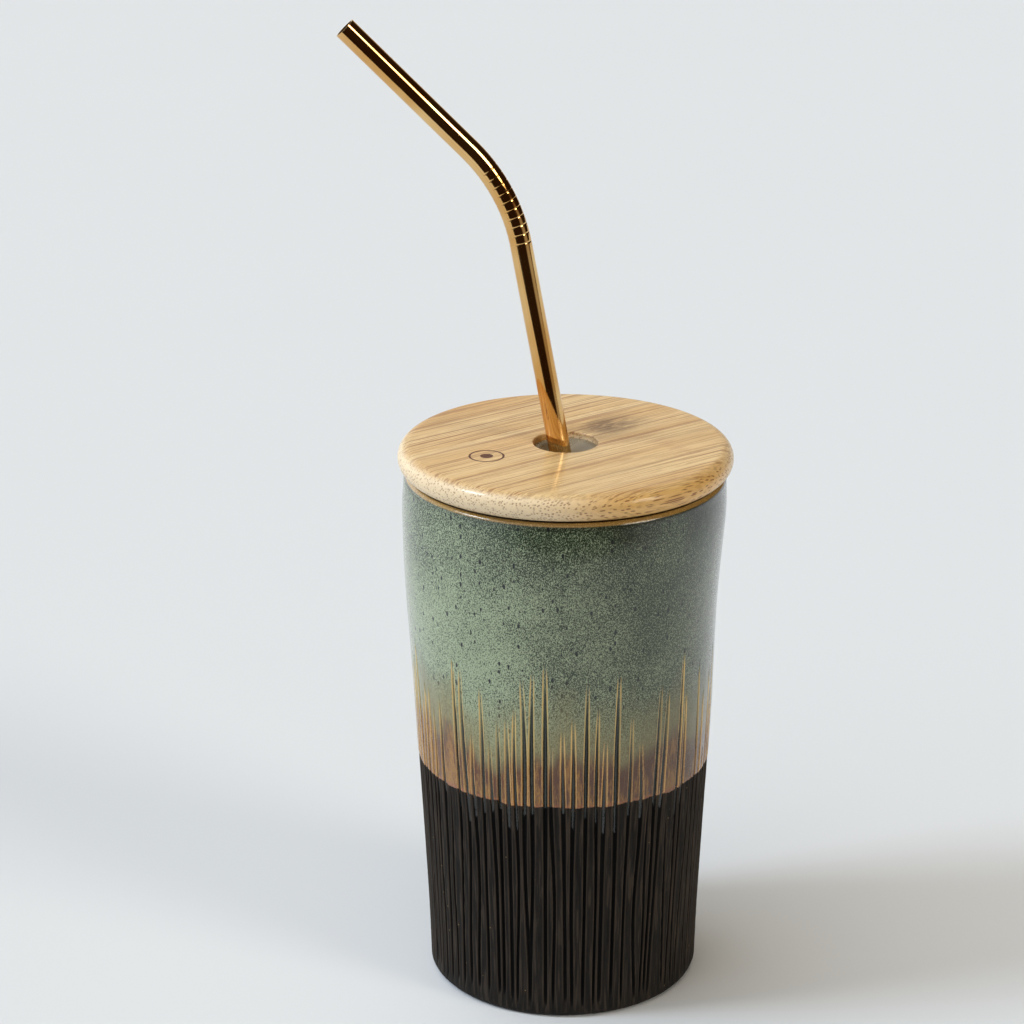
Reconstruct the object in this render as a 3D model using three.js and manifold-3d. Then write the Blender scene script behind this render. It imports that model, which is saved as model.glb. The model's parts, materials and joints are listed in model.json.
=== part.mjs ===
// A hand-thrown stoneware tumbler with a bamboo lid and a bent metal drinking straw.
// Millimetres, +Z up. The origin is the centre of the cup's flat base, on the surface it stands on.
// The straw leans towards -X, in the XZ plane.
import * as THREE from "three";
import { mergeVertices } from "three/addons/utils/BufferGeometryUtils.js";
import Module from "manifold-3d";

const wasm = await Module();
wasm.setup();

// ---- Cup -------------------------------------------------------------------------------------
const cupHeight = 149.6; // base to the top of the lip
const footRadius = 38.2; // outside, just above the rounded foot
const footRound = 2.5;
const mouthRadius = 39.8; // inside, where the lid's plug sits
const wall = 4.4;
const floorThickness = 6.5;
const floorRound = 7; // inside, where the floor meets the wall

// ---- Lid -------------------------------------------------------------------------------------
const discOverhang = 1.8; // past the outside of the lip
const discThickness = 7.5;
const plugDepth = 8;
const plugClearance = 1.3; // plug to the inside of the mouth, all round
const plugRound = 1;
const mouthMargin = 4; // the mouth's straight stretch goes on below the plug
const holeRadius = 8.85; // straight through the disc and the plug
const holeEase = 0.5; // chamfer at the top of the hole

// ---- Seal ring -------------------------------------------------------------------------------
const grooveDepth = 1.8;
const grooveWidth = 3.4;
const sealFit = 0.15; // seal to groove, on every side
const sealLipThickness = 0.9;
const sealLipGap = 0.15; // lip to the inside of the mouth

// ---- Straw -----------------------------------------------------------------------------------
const strawRadius = 3;
const strawWall = 0.5;
const strawFloorGap = 19; // cup's floor to the straw's end, which makes the straw 265 long
const strawMouthLeg = 48.4; // the straight stretch above the bend
const strawRise = 59.9; // from the lid's top up the centreline to the bend
const strawLean = THREE.MathUtils.degToRad(10.45);
const strawBend = THREE.MathUtils.degToRad(34.6);
const strawBendRadius = 38; // of the centreline
const strawOffset = -2; // x where the centreline meets the plane of the lid's top

// ---- Straw grommet ---------------------------------------------------------------------------
const grommetFit = 0.15; // sleeve to hole
const grommetRecess = 1.6; // lid's top to the sleeve's top
const grommetSleeve = 1.2; // the sleeve's wall
const grommetDish = 2.4; // how far the membrane dips to its middle
const grommetMembrane = 0.9;
const grommetFlangeReach = 2.4; // past the hole, under the plug
const grommetFlangeThickness = 1.5;
const grommetGap = 0.15; // flange to the plug's underside
const strawClearance = 0.2; // straw to the membrane's hole

// ---- Levels and radii that follow ------------------------------------------------------------
const lipOuterRadius = mouthRadius + wall;
const mouthBottom = cupHeight - plugDepth - mouthMargin;
const discRadius = lipOuterRadius + discOverhang;
const discBottom = cupHeight;
const lidTop = discBottom + discThickness;
const plugBottom = discBottom - plugDepth;
const plugRadius = mouthRadius - plugClearance;
const grooveFloor = plugRadius - grooveDepth;
const grooveMiddle = discBottom - plugDepth / 2;

const CUP_SIDES = 64;
const LID_SIDES = 64;
const SEAL_SIDES = 48;
const GROMMET_SIDES = 36;
const STRAW_SIDES = 24;
const STRAW_STEPS = 14; // one for each straight leg, the rest round the bend

const point = (x, y) => new THREE.Vector2(x, y);

// Points along an arc, both ends included. Angles in degrees, from +X towards +Y.
function arc(x, y, radius, from, to, steps) {
  const points = [];
  for (let i = 0; i <= steps; i++) {
    const a = THREE.MathUtils.degToRad(from + ((to - from) * i) / steps);
    points.push(point(x + radius * Math.cos(a), y + radius * Math.sin(a)));
  }
  return points;
}

// A profile of (radius, height) turned about Z. It runs anticlockwise round the material.
function turned(profile, sides) {
  return new THREE.LatheGeometry(profile, sides).rotateX(Math.PI / 2);
}

function closed(profile) {
  return [...profile, profile[0].clone()];
}

// A closed geometry as a manifold-3d solid.
function toSolid(geometry) {
  const bare = geometry.clone();
  bare.deleteAttribute("normal");
  bare.deleteAttribute("uv");
  const merged = mergeVertices(bare, 1e-4);
  return new wasm.Manifold(
    new wasm.Mesh({
      numProp: 3,
      vertProperties: merged.attributes.position.array,
      triVerts: new Uint32Array(merged.index.array),
    }),
  );
}

function toGeometry(solid) {
  const mesh = solid.getMesh();
  const geometry = new THREE.BufferGeometry();
  geometry.setAttribute("position", new THREE.BufferAttribute(mesh.vertProperties, 3));
  geometry.setIndex(new THREE.BufferAttribute(mesh.triVerts, 1));
  geometry.computeVertexNormals();
  return geometry;
}

// ---- The cup's outline -----------------------------------------------------------------------
// The wall leaves the foot nearly upright, flares through the middle and stands upright again
// under the lip. Each pair is (share of the height, share of the flare).
const FLARE = [
  [0.12, 0.06],
  [0.3, 0.25],
  [0.5, 0.51],
  [0.78, 0.82],
  [0.92, 1],
];

function flaredWall(bottomRadius, topRadius, bottom, top, steps) {
  const points = FLARE.map(([up, out]) =>
    point(bottomRadius + out * (topRadius - bottomRadius), bottom + up * (top - bottom)),
  );
  const ends = [point(bottomRadius, bottom), ...points, point(topRadius, top)];
  return new THREE.SplineCurve(ends).getPoints(steps);
}

function cupProfile() {
  const lip = wall / 2;
  const floorRadius = footRadius - wall;
  const outside = flaredWall(footRadius, lipOuterRadius, footRound, cupHeight - lip, 12);
  const inside = flaredWall(
    floorRadius, mouthRadius, floorThickness + floorRound, mouthBottom, 8,
  );
  return [
    point(0, 0),
    ...arc(footRadius - footRound, footRound, footRound, -90, 0, 4).slice(0, -1),
    ...outside.slice(0, -1),
    ...arc(mouthRadius + lip, cupHeight - lip, lip, 0, 180, 6),
    ...inside.reverse().slice(0, -1),
    ...arc(floorRadius - floorRound, floorThickness + floorRound, floorRound, 0, -90, 4),
    point(0, floorThickness),
  ];
}

function discProfile() {
  const edge = discThickness / 2;
  return closed([
    ...arc(discRadius - edge, discBottom + edge, edge, -90, 90, 12),
    point(holeRadius + holeEase, lidTop),
    point(holeRadius, lidTop - holeEase),
    point(holeRadius, discBottom),
  ]);
}

function plugProfile() {
  return closed([
    point(holeRadius, plugBottom),
    ...arc(plugRadius - plugRound, plugBottom + plugRound, plugRound, -90, 0, 3),
    point(plugRadius, grooveMiddle - grooveWidth / 2),
    point(grooveFloor, grooveMiddle - grooveWidth / 2),
    point(grooveFloor, grooveMiddle + grooveWidth / 2),
    point(plugRadius, grooveMiddle + grooveWidth / 2),
    point(plugRadius, discBottom),
    point(holeRadius, discBottom),
  ]);
}

// A ring with two thin lips that reach for the cup's wall.
function sealProfile() {
  const inner = grooveFloor + sealFit;
  const web = plugRadius - sealFit;
  const lipEdge = mouthRadius - sealLipGap;
  const half = grooveWidth / 2 - sealFit;
  const lip = (base) => [
    point(web, base),
    ...arc(lipEdge - sealLipThickness / 2, base + sealLipThickness / 2, sealLipThickness / 2, -90, 90, 4),
    point(web, base + sealLipThickness),
  ];
  return closed([
    point(inner, grooveMiddle - half),
    ...lip(grooveMiddle - half),
    ...lip(grooveMiddle + half - sealLipThickness),
    point(inner, grooveMiddle + half),
  ]);
}

// ---- The straw's centreline ------------------------------------------------------------------
const strawDepth = lidTop - floorThickness - strawFloorGap;
const strawLowerLeg = strawRise + strawDepth / Math.cos(strawLean);
const strawAxis = new THREE.Vector3(-Math.sin(strawLean), 0, Math.cos(strawLean));
const mouthAxis = new THREE.Vector3(
  -Math.sin(strawLean + strawBend), 0, Math.cos(strawLean + strawBend),
);
const bendStart = new THREE.Vector3(strawOffset, 0, lidTop).addScaledVector(strawAxis, strawRise);
const bendCentre = bendStart.clone().add(
  new THREE.Vector3(-Math.cos(strawLean), 0, -Math.sin(strawLean)).multiplyScalar(strawBendRadius),
);

// Lower leg, bend and mouth leg. Each leg takes one step of t, and the bend takes the others.
class StrawPath extends THREE.Curve {
  getPoint(t, target = new THREE.Vector3()) {
    const step = t * STRAW_STEPS;
    if (step <= 1) {
      return target.copy(bendStart).addScaledVector(strawAxis, (step - 1) * strawLowerLeg);
    }
    const share = Math.min((step - 1) / (STRAW_STEPS - 2), 1);
    const angle = strawLean + share * strawBend;
    target.set(Math.cos(angle), 0, Math.sin(angle)).multiplyScalar(strawBendRadius);
    target.add(bendCentre);
    const past = Math.max(step - (STRAW_STEPS - 1), 0);
    return target.addScaledVector(mouthAxis, past * strawMouthLeg);
  }
  // The steps follow t and not the length, so that both ends of the bend get one.
  getUtoTmapping(u) {
    return u;
  }
}

function strawTube() {
  const section = new THREE.Shape().absarc(0, 0, strawRadius, 0, 2 * Math.PI);
  section.holes.push(new THREE.Path().absarc(0, 0, strawRadius - strawWall, 0, 2 * Math.PI));
  return new THREE.ExtrudeGeometry(section, {
    steps: STRAW_STEPS,
    curveSegments: STRAW_SIDES / 2, // for each half of the circle
    bevelEnabled: false,
    extrudePath: new StrawPath(),
  });
}

// ---- The grommet -----------------------------------------------------------------------------
function grommetProfile() {
  const outer = holeRadius - grommetFit;
  const inner = outer - grommetSleeve;
  const top = lidTop - grommetRecess;
  const flangeTop = plugBottom - grommetGap;
  const flangeBottom = flangeTop - grommetFlangeThickness;
  const dish = (drop) =>
    new THREE.QuadraticBezierCurve(
      point(inner, top - drop),
      point(inner / 2, top - drop - grommetDish),
      point(0, top - drop - grommetDish),
    ).getPoints(5);
  return [
    ...dish(grommetMembrane).reverse(),
    point(inner, flangeBottom),
    point(holeRadius + grommetFlangeReach, flangeBottom),
    point(holeRadius + grommetFlangeReach, flangeTop),
    point(outer, flangeTop),
    point(outer, top),
    ...dish(0),
  ];
}

// The membrane's hole follows the straw's lean.
function grommetBody() {
  const cutter = new THREE.CylinderGeometry(
    strawRadius + strawClearance, strawRadius + strawClearance, 6 * grommetDish, GROMMET_SIDES,
  );
  cutter.applyQuaternion(
    new THREE.Quaternion().setFromUnitVectors(new THREE.Vector3(0, 1, 0), strawAxis),
  );
  const drop = (grommetRecess + grommetDish) / Math.cos(strawLean);
  const middle = new THREE.Vector3(strawOffset, 0, lidTop).addScaledVector(strawAxis, -drop);
  cutter.translate(middle.x, middle.y, middle.z);
  const blank = toSolid(turned(grommetProfile(), GROMMET_SIDES));
  return toGeometry(blank.subtract(toSolid(cutter)));
}

// ---- Materials -------------------------------------------------------------------------------
const finish = (color, roughness, metalness = 0) =>
  new THREE.MeshStandardMaterial({ color, roughness, metalness });
const stoneware = finish(0x6f7f6c, 0.45);
const bamboo = finish(0xd8b27c, 0.5);
const plugBamboo = finish(0xcda56d, 0.6);
const sealSilicone = finish(0xe4e2dc, 0.45);
const clearSilicone = finish(0xd3d4d0, 0.25);
const goldSteel = finish(0xc8913a, 0.15, 1);

function piece(name, geometry, material) {
  const mesh = new THREE.Mesh(geometry, material);
  mesh.name = name;
  return mesh;
}

const tumbler = new THREE.Group();
tumbler.add(
  piece("cup", turned(cupProfile(), CUP_SIDES), stoneware),
  piece("lid_disc", turned(discProfile(), LID_SIDES), bamboo),
  piece("lid_plug", turned(plugProfile(), LID_SIDES), plugBamboo),
  piece("seal_ring", turned(sealProfile(), SEAL_SIDES), sealSilicone),
  piece("straw_grommet", grommetBody(), clearSilicone),
  piece("straw", strawTube(), goldSteel),
);

export default tumbler;
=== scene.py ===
"""Looks of a hand-thrown stoneware tumbler with a bamboo lid and a bent metal straw.

Lengths are metres in the part's frame: +Z up, the origin at the centre of the cup's base, -Y the front.
Every piece is a surface worked out with numpy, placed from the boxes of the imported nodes.
"""

import json
import math

import bpy
import numpy as np
from bpy.props import FloatProperty, FloatVectorProperty, IntProperty, PointerProperty
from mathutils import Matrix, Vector


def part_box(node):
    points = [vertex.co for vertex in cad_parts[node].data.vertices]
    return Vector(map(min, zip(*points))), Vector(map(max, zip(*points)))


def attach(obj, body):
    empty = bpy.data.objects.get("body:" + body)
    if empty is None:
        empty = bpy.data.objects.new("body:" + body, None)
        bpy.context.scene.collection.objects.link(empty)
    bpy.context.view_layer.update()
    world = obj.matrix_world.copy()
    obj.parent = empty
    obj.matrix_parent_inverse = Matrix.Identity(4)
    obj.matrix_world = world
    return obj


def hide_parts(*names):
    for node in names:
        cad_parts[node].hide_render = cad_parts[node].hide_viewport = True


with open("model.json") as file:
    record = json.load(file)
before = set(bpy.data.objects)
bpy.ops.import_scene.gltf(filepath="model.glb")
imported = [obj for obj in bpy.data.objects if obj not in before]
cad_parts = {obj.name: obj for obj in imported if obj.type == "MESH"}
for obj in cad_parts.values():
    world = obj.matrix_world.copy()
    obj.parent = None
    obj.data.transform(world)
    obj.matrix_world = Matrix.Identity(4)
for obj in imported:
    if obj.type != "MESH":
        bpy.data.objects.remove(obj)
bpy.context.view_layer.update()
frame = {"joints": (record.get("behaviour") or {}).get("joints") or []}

bl_info = {
    "name": "Stoneware Tumbler",
    "version": (1, 0, 0),
    "blender": (4, 5, 0),
    "location": "3D View > Sidebar > Tumbler",
    "description": "Builds a stoneware tumbler, its bamboo lid and its straw around the packed frame",
    "category": "Object",
}

MM = 0.001

CUP_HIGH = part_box("cup")[1]
DISC_LOW, DISC_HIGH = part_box("lid_disc")
PLUG_LOW, PLUG_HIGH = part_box("lid_plug")
SEAL_LOW, SEAL_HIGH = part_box("seal_ring")
GROMMET_LOW, GROMMET_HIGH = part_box("straw_grommet")
STRAW_LOW, STRAW_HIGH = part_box("straw")
STRAW_AXIS = next(Vector(j["axis"]) for j in frame["joints"] if j["name"] == "straw_slide")


# ---- Settings ----


def srgb(red, green, blue):
    """A linear colour from the usual 0 to 255 display values."""
    share = np.array([red, green, blue]) / 255
    linear = np.where(share <= 0.04045, share / 12.92, ((share + 0.055) / 1.055) ** 2.4)
    return tuple(float(x) for x in linear)


def length(name, description, millimetres):
    return FloatProperty(
        name=name, description=description, default=millimetres * MM, min=0, unit="LENGTH", precision=5
    )


def angle(name, description, degrees):
    return FloatProperty(name=name, description=description, default=math.radians(degrees), unit="ROTATION")


def amount(name, description, value):
    return FloatProperty(name=name, description=description, default=value, min=0)


def colour(name, description, *shade):
    return FloatVectorProperty(
        name=name, description=description, default=srgb(*shade), size=3, min=0, max=1, subtype="COLOR"
    )


class TumblerCupSettings(bpy.types.PropertyGroup):
    foot_radius: length("Foot radius", "Outside of the cup, just above its rounded foot", 38.1)
    foot_round: length("Foot round", "Radius of the rounded foot", 2.5)
    wall: length("Wall", "Thickness of the wall at the mouth", 4.4)
    floor: length("Floor", "Thickness of the floor", 6.5)
    floor_round: length("Floor round", "Radius where the floor meets the inside wall", 7)
    mouth_depth: length("Mouth depth", "Straight stretch inside, under the lip", 12)
    fullness: length("Fullness", "How far the thrown wall leans out on its full side", 0.8)
    cuts: IntProperty(name="Cuts", description="Number of carved lines", default=94, min=1)
    cut_width: length("Cut width", "Usual width of a carved line", 1.45)
    cut_depth: length("Cut depth", "Usual depth of a carved line", 0.85)
    cut_foot: length("Cut foot", "Height where the carved lines end above the foot", 3)
    cut_low_top: length("Lowest top", "Height of the shortest carved line", 83)
    cut_high_top: length("Highest top", "Height of the tallest carved line", 114)
    seed: IntProperty(name="Seed", description="Start of the random draws of the carved lines", default=7)
    glaze_line: length("Glaze line", "Height of the glaze's lower edge", 66)
    glaze_run: length("Glaze run", "How far the glaze runs down inside a carved line", 9)
    band: length("Band", "Height of the brown band above the glaze's lower edge", 14)
    glaze: colour("Glaze", "Pale part of the speckled glaze", 174, 188, 154)
    # Speckle, with a little umber, also paints the shade towards +X in banded_glaze.
    speckle: colour("Speckle", "Dark part of the speckled glaze", 36, 50, 34)
    speck: colour("Speck", "The large iron specks", 14, 24, 26)
    olive: colour("Olive", "The glaze where it thins above the band", 150, 142, 96)
    brown: colour("Brown", "The band", 96, 52, 26)
    honey: colour("Honey", "Pale streaks in the band", 172, 122, 54)
    rust: colour("Rust", "The glaze's lower edge", 170, 98, 50)
    # Deep is partly painted shade: the glaze's dark run made nearly black like the shaded carved lines.
    deep: colour("Deep glaze", "Glaze in the carved lines past the glaze's lower edge", 12, 14, 14)
    tan: colour("Tan", "Glaze that breaks over an edge", 230, 192, 116)
    slate: colour("Slate", "Glaze that pools in a carved line", 40, 48, 42)
    amber: colour("Amber", "Glaze that breaks over the lip", 206, 164, 90)
    # Umber also paints the lid's shadow on the lip's crown, and with speckle the shade towards +X.
    umber: colour("Umber", "The glaze on the lip's crown and just under the lip", 30, 22, 12)
    clay: colour("Clay", "Bare stoneware", 36, 30, 25)
    soot: colour("Soot", "Dark streaks of the stoneware", 16, 14, 12)
    # Groove is painted shade: the near black of the carved lines' bottoms in the bare stoneware.
    groove: colour("Groove", "Bottom of a carved line in the stoneware", 6, 6, 6)
    # Ridge colours the stoneware's paler streaks and grog, and on the carved lines' shoulders it is a
    # painted highlight.
    ridge: colour("Ridge", "Worn edges and streaks of the stoneware", 74, 63, 53)


class TumblerLidSettings(bpy.types.PropertyGroup):
    hole_radius: length("Hole radius", "Straw hole through the disc and the plug", 8.85)
    hole_ease: length("Hole ease", "Rounded top edge of the hole", 0.5)
    plug_round: length("Plug round", "Rounded lower edge of the plug", 1)
    groove_depth: length("Groove depth", "Depth of the plug's groove for the seal", 1.8)
    groove_width: length("Groove width", "Height of the plug's groove for the seal", 3.4)
    grain: angle("Grain", "Direction of the disc's grain, from +X towards +Y", 37)
    strip_width: length("Strip width", "Width of a laminated strip", 20.5)
    strip_shift: length("Strip shift", "How far a seam between strips stands from the centre", 7.5)
    coat: amount("Coat", "How strong the oiled surface's gloss is", 0.4)
    pale: colour("Pale bamboo", "The lightest fibre", 236, 204, 148)
    warm: colour("Warm bamboo", "The usual fibre", 218, 172, 106)
    line: colour("Grain line", "The dark lines of the grain", 146, 86, 34)
    # Rim is partly the end grain's pale tone and partly painted light on the rounded edge.
    rim: colour("Rim", "The rounded edge where it cuts the fibres' ends", 252, 228, 188)
    golden: colour("Golden", "The rounded edge where it runs along the fibres", 234, 182, 96)
    stain: colour("Stain", "The grey-brown stain at the node of the cane", 98, 64, 26)
    blush: colour("Blush", "The red-brown streaks at the node of the cane", 168, 96, 60)
    burn: colour("Burn", "The burnt mark", 88, 40, 14)


class TumblerStrawSettings(bpy.types.PropertyGroup):
    wall: length("Wall", "Thickness of the straw's wall", 0.5)
    bend: angle("Bend", "How far the mouth leg turns from the lower leg", 34.6)
    bend_radius: length("Bend radius", "Radius of the bend's centreline", 50)
    mouth_extra: length("Mouth extra", "How far the mouth leg reaches past the node's", 0.9)
    rolls: IntProperty(name="Rolls", description="Rolled grooves across the bend", default=10, min=0)
    roll_pitch: length("Roll pitch", "From one rolled groove to the next", 2.4)
    roll_depth: length("Roll depth", "Depth of a rolled groove", 0.06)
    roll_shift: length("Roll shift", "How far the rolled grooves stand below the middle of the bend", 3.2)
    gold: colour("Gold", "The metal where it faces the light", 240, 206, 146)
    bronze: colour("Bronze", "The metal's deeper tone", 212, 156, 84)


class TumblerSiliconeSettings(bpy.types.PropertyGroup):
    seal_fit: length("Seal fit", "Room between the seal and its groove", 0.15)
    seal_lip: length("Seal lip", "Thickness of each lip of the seal", 0.9)
    seal_fillet: length("Seal fillet", "Radius where a lip leaves the seal's web", 0.3)
    sleeve: length("Sleeve", "Wall of the grommet's sleeve", 1.2)
    sleeve_fit: length("Sleeve fit", "Room between the sleeve and the lid's hole", 0.15)
    flange: length("Flange", "Thickness of the grommet's flange", 1.5)
    dish: length("Dish", "How far the grommet's membrane dips", 2.4)
    membrane: length("Membrane", "Thickness of the grommet's membrane", 0.9)
    fit: length("Fit", "Room between the straw and the membrane", 0.2)
    ease: length("Ease", "Rounded edges of the grommet", 0.3)
    shade: colour("Silicone", "The silicone's own colour", 196, 180, 150)


class TumblerStageSettings(bpy.types.PropertyGroup):
    camera_side: length("Camera side", "How far the camera stands to the left of the cup's axis", 14.66)
    camera_back: length("Camera back", "How far the camera stands in front of the cup's axis", 777.19)
    camera_height: length("Camera height", "Camera's height above the floor", 419.17)
    camera_tilt: angle("Camera tilt", "How far the camera looks down", 19.976)
    lens: amount("Lens", "Focal length in millimetres on a 36 mm sensor", 105.43)
    floor_radius: length("Floor radius", "The plain floor", 5000)
    floor_front: length("Floor front", "How far the floor reaches in front of the cup's axis", 400)
    floor_shade: colour("Floor", "The plain floor", 226, 229, 233)
    backdrop: colour("Backdrop", "What the camera sees past the floor", 222, 226, 230)
    key: amount("Key", "Strength of the soft key light", 1.12)
    key_spread: angle("Key spread", "Angle that the key light fills", 15)
    key_height: angle("Key height", "The key light's height over the floor", 44)
    key_side: angle("Key side", "The key light's direction, from +X towards +Y", 189)
    base: amount("Base light", "Light from every side", 0.025)
    left: amount("Left panel", "Light of the left panel", 0.9)
    back: amount("Back panel", "Light of the back panel", 0.7)
    top: amount("Top panel", "Light of the top panel", 0.66)
    front: amount("Front panel", "Light of the high panel in front", 0.7)
    right: amount("Right panel", "Light of the low panel at the right", 0.32)
    strip: amount("Strip", "Light of the small panel at the front right", 9.5)


class TumblerSettings(bpy.types.PropertyGroup):
    cup: PointerProperty(type=TumblerCupSettings)
    lid: PointerProperty(type=TumblerLidSettings)
    straw: PointerProperty(type=TumblerStrawSettings)
    silicone: PointerProperty(type=TumblerSiliconeSettings)
    stage: PointerProperty(type=TumblerStageSettings)


# ---- Meshes ----


def arc(x, y, radius, start, end, count):
    """Points on a circle: (x, y) plus the radius times (cosine, sine) of an angle that runs evenly."""
    a = np.radians(np.linspace(start, end, count))
    return np.column_stack([x + radius * np.cos(a), y + radius * np.sin(a)])


def smooth_line(knots, count):
    """A Catmull-Rom curve: each stretch is the cubic that passes its two knots with the slopes of their
    neighbours' chords, and the end knots repeat."""
    knots = np.asarray(knots, float)
    padded = np.vstack([knots[:1], knots, knots[-1:]])
    t = np.linspace(0, len(knots) - 1, count)
    i = np.minimum(t.astype(int), len(knots) - 2)
    s = (t - i)[:, None]
    a, b, c, d = (padded[i + k] for k in range(4))
    return 0.5 * (2 * b + (c - a) * s + (2 * a - 5 * b + 4 * c - d) * s**2 + (3 * b - a - 3 * c + d) * s**3)


def sweep(low, high, count):
    """Even steps from low up to high, without high itself."""
    return np.linspace(low, high, count, endpoint=False)


def ring_points(radius, height, columns):
    """Grid of a turned surface: the point at row v and column u is (r cos a, r sin a, z), where a is u's
    share of a full turn. Radius and height are per row, or a grid of rows and columns."""
    a = sweep(0, 2 * math.pi, columns)[None, :]
    radius, height = (np.atleast_2d(x.T).T if x.ndim == 1 else x for x in (radius, height))
    grid = np.empty((len(radius), columns, 3))
    grid[..., 0] = radius * np.cos(a)
    grid[..., 1] = radius * np.sin(a)
    grid[..., 2] = height
    return grid


def quads(rows, columns, first=0, wrap=False):
    """Faces of a grid that is closed along its columns, and along its rows too when wrap is set."""
    v = np.arange(rows if wrap else rows - 1)[:, None]
    u = np.arange(columns)[None, :]
    w, n = (v + 1) % rows, (u + 1) % columns
    corners = [v * columns + u, v * columns + n, w * columns + n, w * columns + u]
    return first + np.stack(np.broadcast_arrays(*corners), -1).reshape(-1, 4)


def fan(pole, ring, outward):
    """Triangles from a pole to a ring of vertices. outward is True where the ring follows the pole."""
    after = np.roll(ring, -1)
    middle = np.full(len(ring), pole)
    return np.column_stack([middle, after, ring] if outward else [ring, after, middle])


def stitch(fine, coarse, fine_first):
    """Triangles between a ring and one with a whole number of times fewer vertices: each coarse edge
    meets its fine ones, the first half of them from its own vertex and the rest from the next."""
    share = len(fine) // len(coarse)
    after = np.roll(fine, -1).reshape(len(coarse), share)
    fine = fine.reshape(len(coarse), share)
    following = np.roll(coarse, -1)
    half = share // 2
    tips = np.where(np.arange(share)[None, :] < half, coarse[:, None], following[:, None])
    strips = np.stack([fine, after, tips], -1).reshape(-1, 3)
    joins = np.column_stack([fine[:, half], following, coarse])
    faces = np.vstack([strips, joins])
    return faces if fine_first else faces[:, ::-1]


def add_piece(name, points, faces, body, node, material, marks=None, uv=None, crease=40):
    """Makes a mesh piece from points and face arrays, with per-vertex marks and a per-vertex UV map."""
    points = np.asarray(points, np.float32).reshape(-1, 3)
    corners = np.concatenate([f.ravel() for f in faces]).astype(np.int32)
    sizes = np.concatenate([np.full(len(f), f.shape[1]) for f in faces])
    mesh = bpy.data.meshes.new(name)
    mesh.vertices.add(len(points))
    mesh.vertices.foreach_set("co", points.ravel())
    mesh.loops.add(len(corners))
    mesh.loops.foreach_set("vertex_index", corners)
    mesh.polygons.add(len(sizes))
    mesh.polygons.foreach_set("loop_start", np.concatenate([[0], np.cumsum(sizes)[:-1]]).astype(np.int32))
    mesh.update(calc_edges=True)
    mesh.validate()
    mesh.shade_smooth()
    mesh.set_sharp_from_angle(angle=math.radians(crease))
    for mark, values in (marks or {}).items():
        mesh.attributes.new(mark, "FLOAT", "POINT").data.foreach_set("value", values.astype(np.float32))
    if uv is not None:
        layer = mesh.uv_layers.new(name="along")
        layer.data.foreach_set("uv", uv[corners].astype(np.float32).ravel())
    mesh.materials.append(material)
    piece = bpy.data.objects.new(name, mesh)
    bpy.context.scene.collection.objects.link(piece)
    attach(piece, body)
    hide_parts(node)


def turned_ring(profile, columns):
    """A closed profile of (radius, height) turned about Z. Points and faces."""
    grid = ring_points(profile[:, 0], profile[:, 1], columns)
    return grid.reshape(-1, 3), [quads(len(profile), columns, wrap=True)]


# ---- Material graphs ----


class Value:
    """What a node of a graph gives: it can be linked on, or added, subtracted, multiplied or divided."""

    def __init__(self, graph, socket):
        self.graph = graph
        self.socket = socket

    def __add__(self, other):
        return self.graph.calc("ADD", self, other)

    def __sub__(self, other):
        return self.graph.calc("SUBTRACT", self, other)

    def __rsub__(self, other):
        return self.graph.calc("SUBTRACT", other, self)

    def __mul__(self, other):
        return self.graph.calc("MULTIPLY", self, other)

    def __truediv__(self, other):
        return self.graph.calc("DIVIDE", self, other)

    __radd__ = __add__
    __rmul__ = __mul__


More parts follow.
